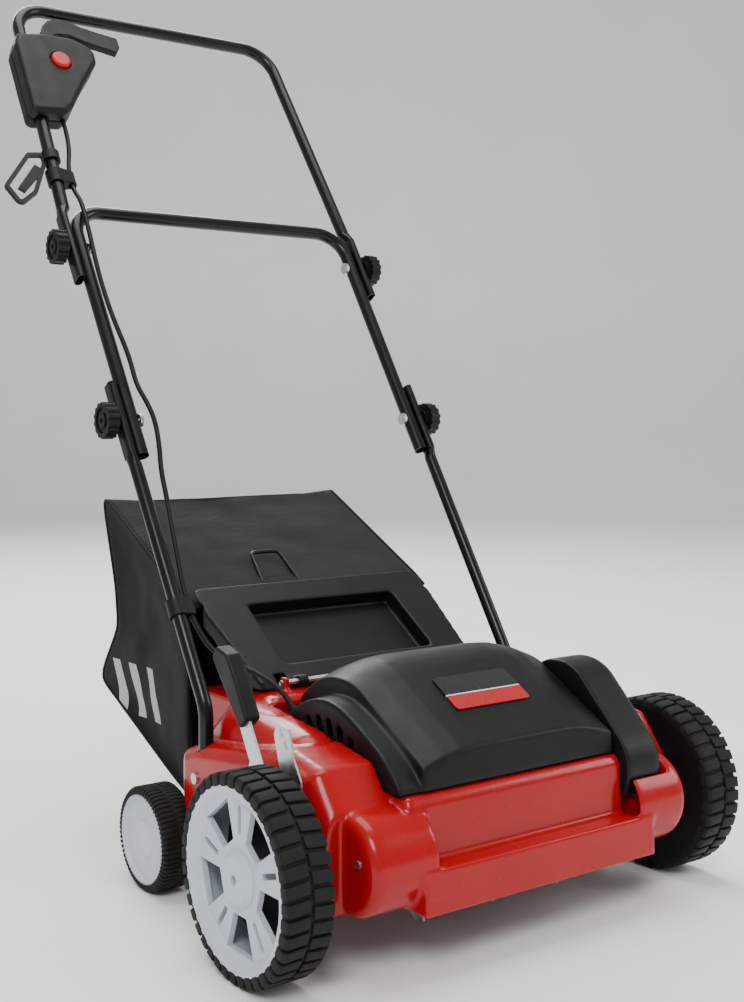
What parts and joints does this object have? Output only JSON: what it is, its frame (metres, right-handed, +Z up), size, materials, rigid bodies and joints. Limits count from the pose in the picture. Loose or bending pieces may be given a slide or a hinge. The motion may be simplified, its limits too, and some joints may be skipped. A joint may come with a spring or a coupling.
{
  "type": "electric lawn dethatcher",
  "caption": "Walk-behind electric lawn dethatcher with a red deck, dark motor cover, folding tube handle, dead-man switch, depth lever, rear flap and woven catch bag.",
  "frame": {"origin": "on the ground under the middle of the machine's overall box", "axes": "+Z up, -Y the front of the machine with the motor and large wheels, +X the machine's left as its user stands behind it"},
  "size_m": [0.604, 0.8741, 1.1],
  "materials": {
    "red_shell": "gloss red moulding",
    "dark_shell": "fine-textured dark plastic",
    "tube": "satin black enamel",
    "zinc": "zinc plated",
    "steel": "bright steel",
    "tyre": "moulded black tread",
    "rim": "light blue-grey moulding",
    "black_plastic": "black moulding",
    "button_red": "gloss red",
    "cable": "black sheath",
    "bag": "woven black fabric",
    "label": "two-tone badge without text",
    "copper": "laminated core with windings",
    "aluminium": "cast"
  },
  "bodies": {
    "deck": {"deck_housing": "red_shell", "motor_cover": "dark_shell", "belt_cover": "dark_shell", "label_plate": "label", "roller_bearings": "steel", "bearing_flanges": "zinc", "motor_housing": "aluminium", "stator_core": "copper", "drive_belt": "cable", "rear_axle": "steel", "detent_plate": "zinc", "handle_lower_right": "tube", "handle_lower_left": "tube", "deck_bolts": "zinc", "cable_lower": "cable", "cable_clip_lower": "black_plastic", "cable_gland": "cable", "flap_rod": "zinc"},
    "roller": {"roller_shaft": "steel", "roller_blades": "steel", "roller_spacers": "black_plastic", "roller_pulley": "aluminium"},
    "motor": {"motor_rotor": "steel", "cooling_fan": "black_plastic", "motor_pulley": "aluminium"},
    "depth_crank": {"front_axle": "steel", "lever_plate": "zinc", "lever_grip": "black_plastic"},
    "front_wheel_right": {"front_tyre_right": "tyre", "front_rim_right": "rim", "front_wheel_disc_right": "black_plastic"},
    "front_wheel_left": {"front_tyre_left": "tyre", "front_rim_left": "rim", "front_wheel_disc_left": "black_plastic"},
    "rear_wheel_right": {"rear_tyre_right": "tyre", "rear_rim_right": "rim"},
    "rear_wheel_left": {"rear_tyre_left": "tyre", "rear_rim_left": "rim"},
    "mid_handle": {"handle_mid": "tube", "carriage_bolts": "zinc", "cable_mid": "cable"},
    "upper_handle": {"handle_upper": "tube", "switch_box_front": "black_plastic", "switch_box_rear": "black_plastic", "microswitch": "black_plastic", "inlet_pins": "zinc", "cable_upper": "cable", "cable_clip_upper": "black_plastic"},
    "knob_lower_right": {"knob_lower_right": "black_plastic"},
    "knob_lower_left": {"knob_lower_left": "black_plastic"},
    "knob_upper_right": {"knob_upper_right": "black_plastic"},
    "knob_upper_left": {"knob_upper_left": "black_plastic"},
    "switch_lever": {"switch_lever": "black_plastic"},
    "lock_button": {"lock_button": "button_red"},
    "cord_hook": {"cord_hook": "black_plastic"},
    "flap": {"rear_flap": "dark_shell", "flap_spring": "steel"},
    "bag": {"grass_bag": "bag", "bag_frame": "tube", "bag_handle": "tube"}
  },
  "joints": [
    {"name": "roller_spin", "type": "hinge", "parent": "deck", "child": "roller", "pos_m": [0, -0.334, 0.084], "axis": [1, 0, 0], "continuous": true},
    {"name": "motor_spin", "type": "hinge", "parent": "deck", "child": "motor", "pos_m": [0, -0.309, 0.198], "axis": [1, 0, 0], "continuous": true},
    {"name": "depth_crank_turn", "type": "hinge", "parent": "deck", "child": "depth_crank", "pos_m": [0, -0.26, 0.112], "axis": [1, 0, 0], "range_deg": [-8, 13]},
    {"name": "front_wheel_right_spin", "type": "hinge", "parent": "depth_crank", "child": "front_wheel_right", "pos_m": [-0.2765, -0.33, 0.1], "axis": [1, 0, 0], "continuous": true},
    {"name": "front_wheel_left_spin", "type": "hinge", "parent": "depth_crank", "child": "front_wheel_left", "pos_m": [0.2765, -0.33, 0.1], "axis": [1, 0, 0], "continuous": true},
    {"name": "rear_wheel_right_spin", "type": "hinge", "parent": "deck", "child": "rear_wheel_right", "pos_m": [-0.241, -0.059, 0.0587], "axis": [1, 0, 0], "continuous": true},
    {"name": "rear_wheel_left_spin", "type": "hinge", "parent": "deck", "child": "rear_wheel_left", "pos_m": [0.241, -0.059, 0.0587], "axis": [1, 0, 0], "continuous": true},
    {"name": "handle_mid_fold", "type": "hinge", "parent": "deck", "child": "mid_handle", "pos_m": [0, 0.0645, 0.523], "axis": [-1, 0, 0], "range_deg": [-150, 0], "deforming": ["cable_lower"]},
    {"name": "handle_upper_fold", "type": "hinge", "parent": "mid_handle", "child": "upper_handle", "pos_m": [0, 0.20199, 0.73799], "axis": [1, 0, 0], "range_deg": [-120, 165], "deforming": ["cable_mid", "cable_upper"]},
    {"name": "knob_lower_right_turn", "type": "hinge", "parent": "mid_handle", "child": "knob_lower_right", "pos_m": [-0.239, 0.0645, 0.523], "axis": [1, 0, 0], "continuous": true},
    {"name": "knob_lower_left_turn", "type": "hinge", "parent": "mid_handle", "child": "knob_lower_left", "pos_m": [0.239, 0.0645, 0.523], "axis": [1, 0, 0], "continuous": true},
    {"name": "knob_upper_right_turn", "type": "hinge", "parent": "mid_handle", "child": "knob_upper_right", "pos_m": [-0.239, 0.20199, 0.73799], "axis": [1, 0, 0], "continuous": true},
    {"name": "knob_upper_left_turn", "type": "hinge", "parent": "mid_handle", "child": "knob_upper_left", "pos_m": [0.239, 0.20199, 0.73799], "axis": [1, 0, 0], "continuous": true},
    {"name": "switch_lever_squeeze", "type": "hinge", "parent": "upper_handle", "child": "switch_lever", "pos_m": [-0.17, 0.38625, 1.02611], "axis": [0, -0.8425, 0.5388], "range_deg": [0, 7], "stiffness_Nm_per_rad": 1.2, "springref_deg": -11.46},
    {"name": "lock_button_press", "type": "slide", "parent": "upper_handle", "child": "lock_button", "axis": [0, 0.8425, -0.5388], "range_m": [0, 0.004], "stiffness_N_per_m": 300, "springref_m": -0.002},
    {"name": "cord_hook_swivel", "type": "hinge", "parent": "upper_handle", "child": "cord_hook", "pos_m": [-0.21367, 0.28119, 0.86183], "axis": [0.0391, 0.5384, 0.8418], "range_deg": [-20, 60]},
    {"name": "rear_flap_hinge", "type": "hinge", "parent": "deck", "child": "flap", "pos_m": [0, -0.14, 0.232], "axis": [1, 0, 0], "range_deg": [0, 65], "deforming": ["flap_spring"]},
    {"name": "bag_unhook", "type": "slide", "parent": "deck", "child": "bag", "axis": [0, 1, 0], "range_m": [0, 0.15]}
  ],
  "couplings": [
    {"joint": "motor_spin", "follows": "roller_spin", "ratio": 1.5}
  ]
}
